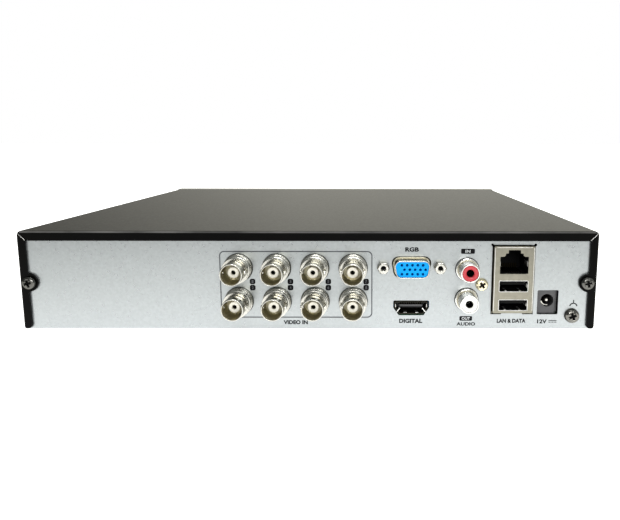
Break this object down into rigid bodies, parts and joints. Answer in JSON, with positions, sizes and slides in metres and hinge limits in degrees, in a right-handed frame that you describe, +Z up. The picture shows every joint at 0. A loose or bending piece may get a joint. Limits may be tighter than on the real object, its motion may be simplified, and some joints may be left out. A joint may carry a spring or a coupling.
{
  "type": "video recorder",
  "caption": "Compact security video recorder: flat black steel box with a silver connector panel, bayonet video inputs, sliding cover and a hard drive inside.",
  "frame": {"origin": "on the ground under the middle of the whole object, connectors included", "axes": "+Z up, +Y out of the connector panel, -Y out of the front bezel, +X to the right seen from the front"},
  "size_m": [0.255, 0.254, 0.0471],
  "materials": {
    "zinc_steel": "bright zinc-coated sheet",
    "black_steel": "satin black powder coat",
    "bezel_plastic": "polished black",
    "smoked_window": "smoked, polished",
    "foot_rubber": "matt",
    "black_screw_steel": "black zinc",
    "screw_steel": "bright zinc",
    "yellow_zinc": "yellow-tinted zinc",
    "circuit_board": "green solder mask",
    "chip_plastic": "moulded epoxy",
    "sink_aluminium": "anodised",
    "can_aluminium": "sleeved cans",
    "battery_steel": "satin",
    "black_plastic": "moulded",
    "header_plastic": "moulded nylon",
    "power_plastic": "moulded",
    "lamp_plastic": "clear epoxy",
    "ribbon_plastic": "grey ribbon",
    "data_cable_plastic": "red jacket",
    "wire_plastic": "insulated wire",
    "drive_casting": "die-cast",
    "drive_plate": "satin",
    "platter_mirror": "polished",
    "arm_aluminium": "machined",
    "magnet_nickel": "nickel plate",
    "jack_nickel": "nickel plate",
    "white_plastic": "moulded",
    "red_plastic": "moulded",
    "blue_plastic": "moulded",
    "contact_gold": "gold flash"
  },
  "bodies": {
    "case": {"audio_in_insert": "red_plastic", "audio_jack_barrels": "jack_nickel", "audio_jack_block": "black_plastic", "audio_out_insert": "white_plastic", "battery_holder": "black_plastic", "board_chips": "chip_plastic", "board_headers": "header_plastic", "board_screws": "screw_steel", "board_standoffs": "screw_steel", "bracket_screw": "yellow_zinc", "buzzer": "black_plastic", "cable_plugs": "black_plastic", "capacitors": "can_aluminium", "chassis_tray": "zinc_steel", "clock_battery": "battery_steel", "digital_port_shell": "jack_nickel", "digital_port_tongue": "black_plastic", "drive_board": "circuit_board", "drive_body": "drive_casting", "drive_connector": "black_plastic", "drive_data_cable": "data_cable_plastic", "drive_lid": "drive_plate", "drive_magnets": "magnet_nickel", "drive_power_cable": "wire_plastic", "drive_screws": "screw_steel", "front_bezel": "bezel_plastic", "front_ribbon_cable": "ribbon_plastic", "heat_sink": "sink_aluminium", "indicator_board": "circuit_board", "indicator_lamps": "lamp_plastic", "indicator_window": "smoked_window", "main_board": "circuit_board", "monitor_port_insert": "blue_plastic", "monitor_port_jackscrews": "jack_nickel", "monitor_port_shell": "jack_nickel", "network_usb_insulator": "black_plastic", "network_usb_shield": "jack_nickel", "port_contacts": "contact_gold", "power_jack_body": "power_plastic", "power_jack_pin": "jack_nickel", "processor": "chip_plastic", "rubber_feet": "foot_rubber", "video_jack_1": "jack_nickel", "video_jack_2": "jack_nickel", "video_jack_3": "jack_nickel", "video_jack_4": "jack_nickel", "video_jack_5": "jack_nickel", "video_jack_6": "jack_nickel", "video_jack_7": "jack_nickel", "video_jack_8": "jack_nickel", "video_jack_contacts": "contact_gold", "video_jack_housings": "black_plastic", "video_jack_insulators": "white_plastic"},
    "cover": {"top_cover": "black_steel"},
    "cover_screw_left": {"cover_screw_left": "black_screw_steel"},
    "cover_screw_right": {"cover_screw_right": "black_screw_steel"},
    "ground_screw": {"ground_screw": "screw_steel"},
    "platter_stack": {"drive_hub": "drive_plate", "drive_platters": "platter_mirror"},
    "head_arm": {"drive_arm": "arm_aluminium"}
  },
  "joints": [
    {"name": "cover_slide", "type": "slide", "parent": "case", "child": "cover", "axis": [0, 1, 0], "range_m": [0, 0.23]},
    {"name": "cover_screw_left_withdraw", "type": "slide", "parent": "cover", "child": "cover_screw_left", "axis": [0, 1, 0], "range_m": [0, 0.0065]},
    {"name": "cover_screw_right_withdraw", "type": "slide", "parent": "cover", "child": "cover_screw_right", "axis": [0, 1, 0], "range_m": [0, 0.0065]},
    {"name": "ground_screw_withdraw", "type": "slide", "parent": "case", "child": "ground_screw", "axis": [0, 1, 0], "range_m": [0, 0.0065]},
    {"name": "platter_spin", "type": "hinge", "parent": "case", "child": "platter_stack", "pos_m": [-0.0442, -0.05885, 0.0195], "axis": [0, 0, 1], "continuous": true},
    {"name": "arm_swing", "type": "hinge", "parent": "case", "child": "head_arm", "pos_m": [0.008, -0.07905, 0.0195], "axis": [0, 0, 1], "range_deg": [0, 34]}
  ]
}
